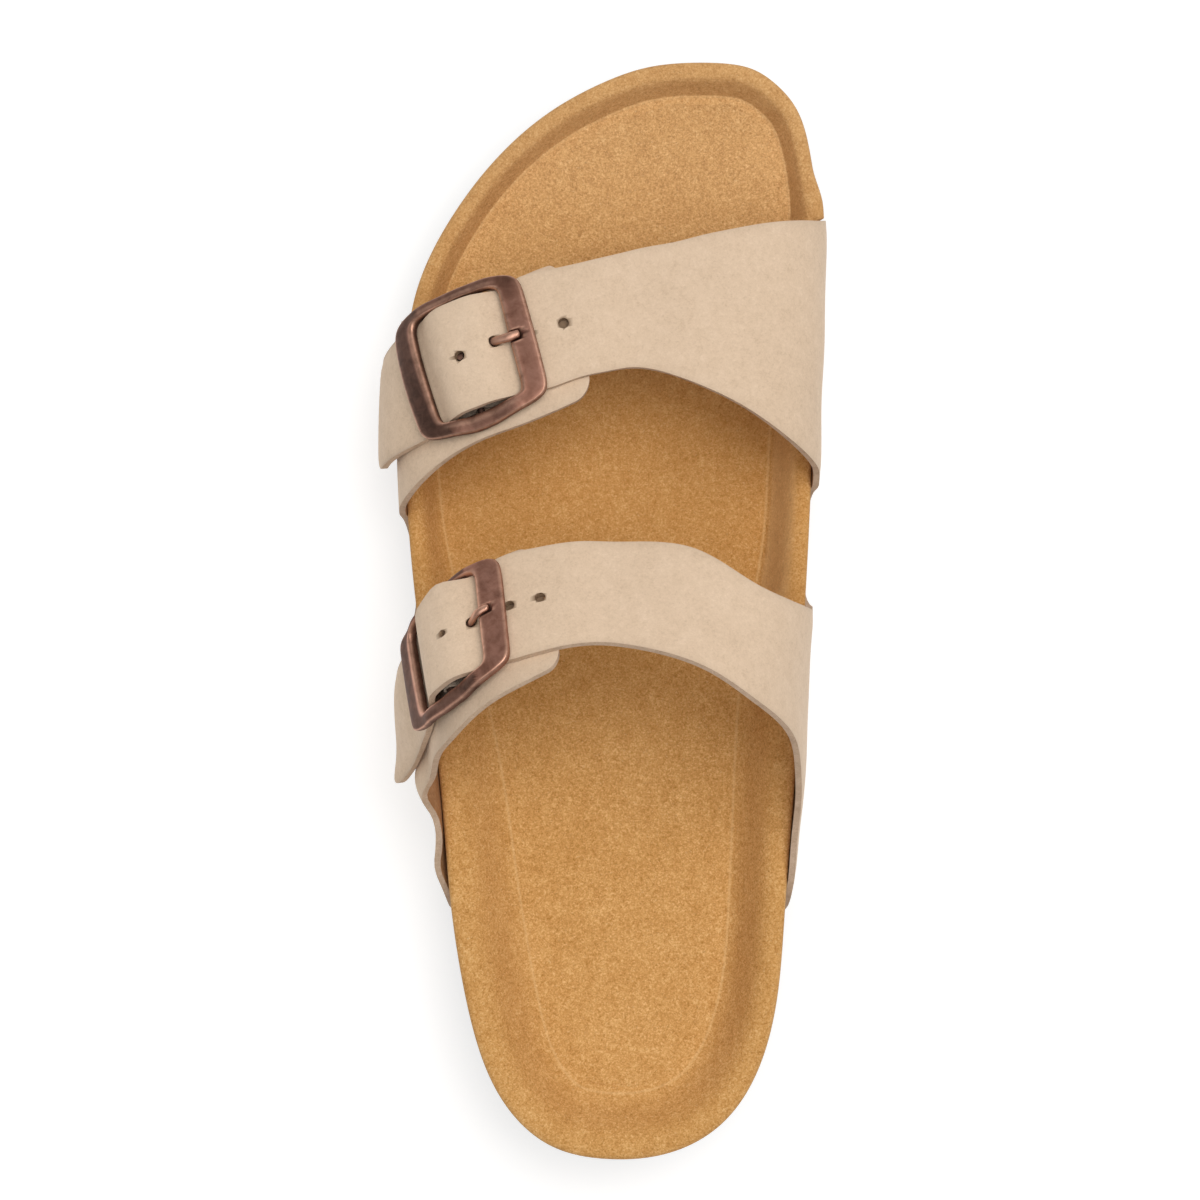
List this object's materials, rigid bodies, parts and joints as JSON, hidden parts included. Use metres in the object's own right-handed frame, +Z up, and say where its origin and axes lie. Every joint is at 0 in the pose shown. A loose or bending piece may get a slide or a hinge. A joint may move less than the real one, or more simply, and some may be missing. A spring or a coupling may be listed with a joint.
{
  "type": "slide sandal",
  "caption": "Open slide sandal for the left foot: wide buckled straps over a moulded footbed with raised rim, deep heel cup and arch, on a flat grooved sole.",
  "frame": {"origin": "middle of the bounding box in plan, at the plane the sole stands on", "axes": "+Y from heel to toe, +X to the big-toe (medial) side, +Z up"},
  "size_m": [0.1072, 0.262, 0.0899],
  "materials": {
    "eva": "matte moulded foam sole, dark brown",
    "cork": "sealed granulated cork",
    "suede": "napped suede lining, tan",
    "nubuck": "fine matte nubuck, beige",
    "copper": "antique copper plating, satin with bright worn edges",
    "keeper": "thin strip, matte"
  },
  "bodies": {
    "root": {"outsole": "eva", "footbed": "cork", "insole": "suede", "upper_medial": "nubuck", "upper_lateral": "nubuck", "buckle_front": "copper", "buckle_rear": "copper", "prong_front": "copper", "prong_rear": "copper", "keeper_front": "keeper", "keeper_rear": "keeper"}
  },
  "joints": []
}
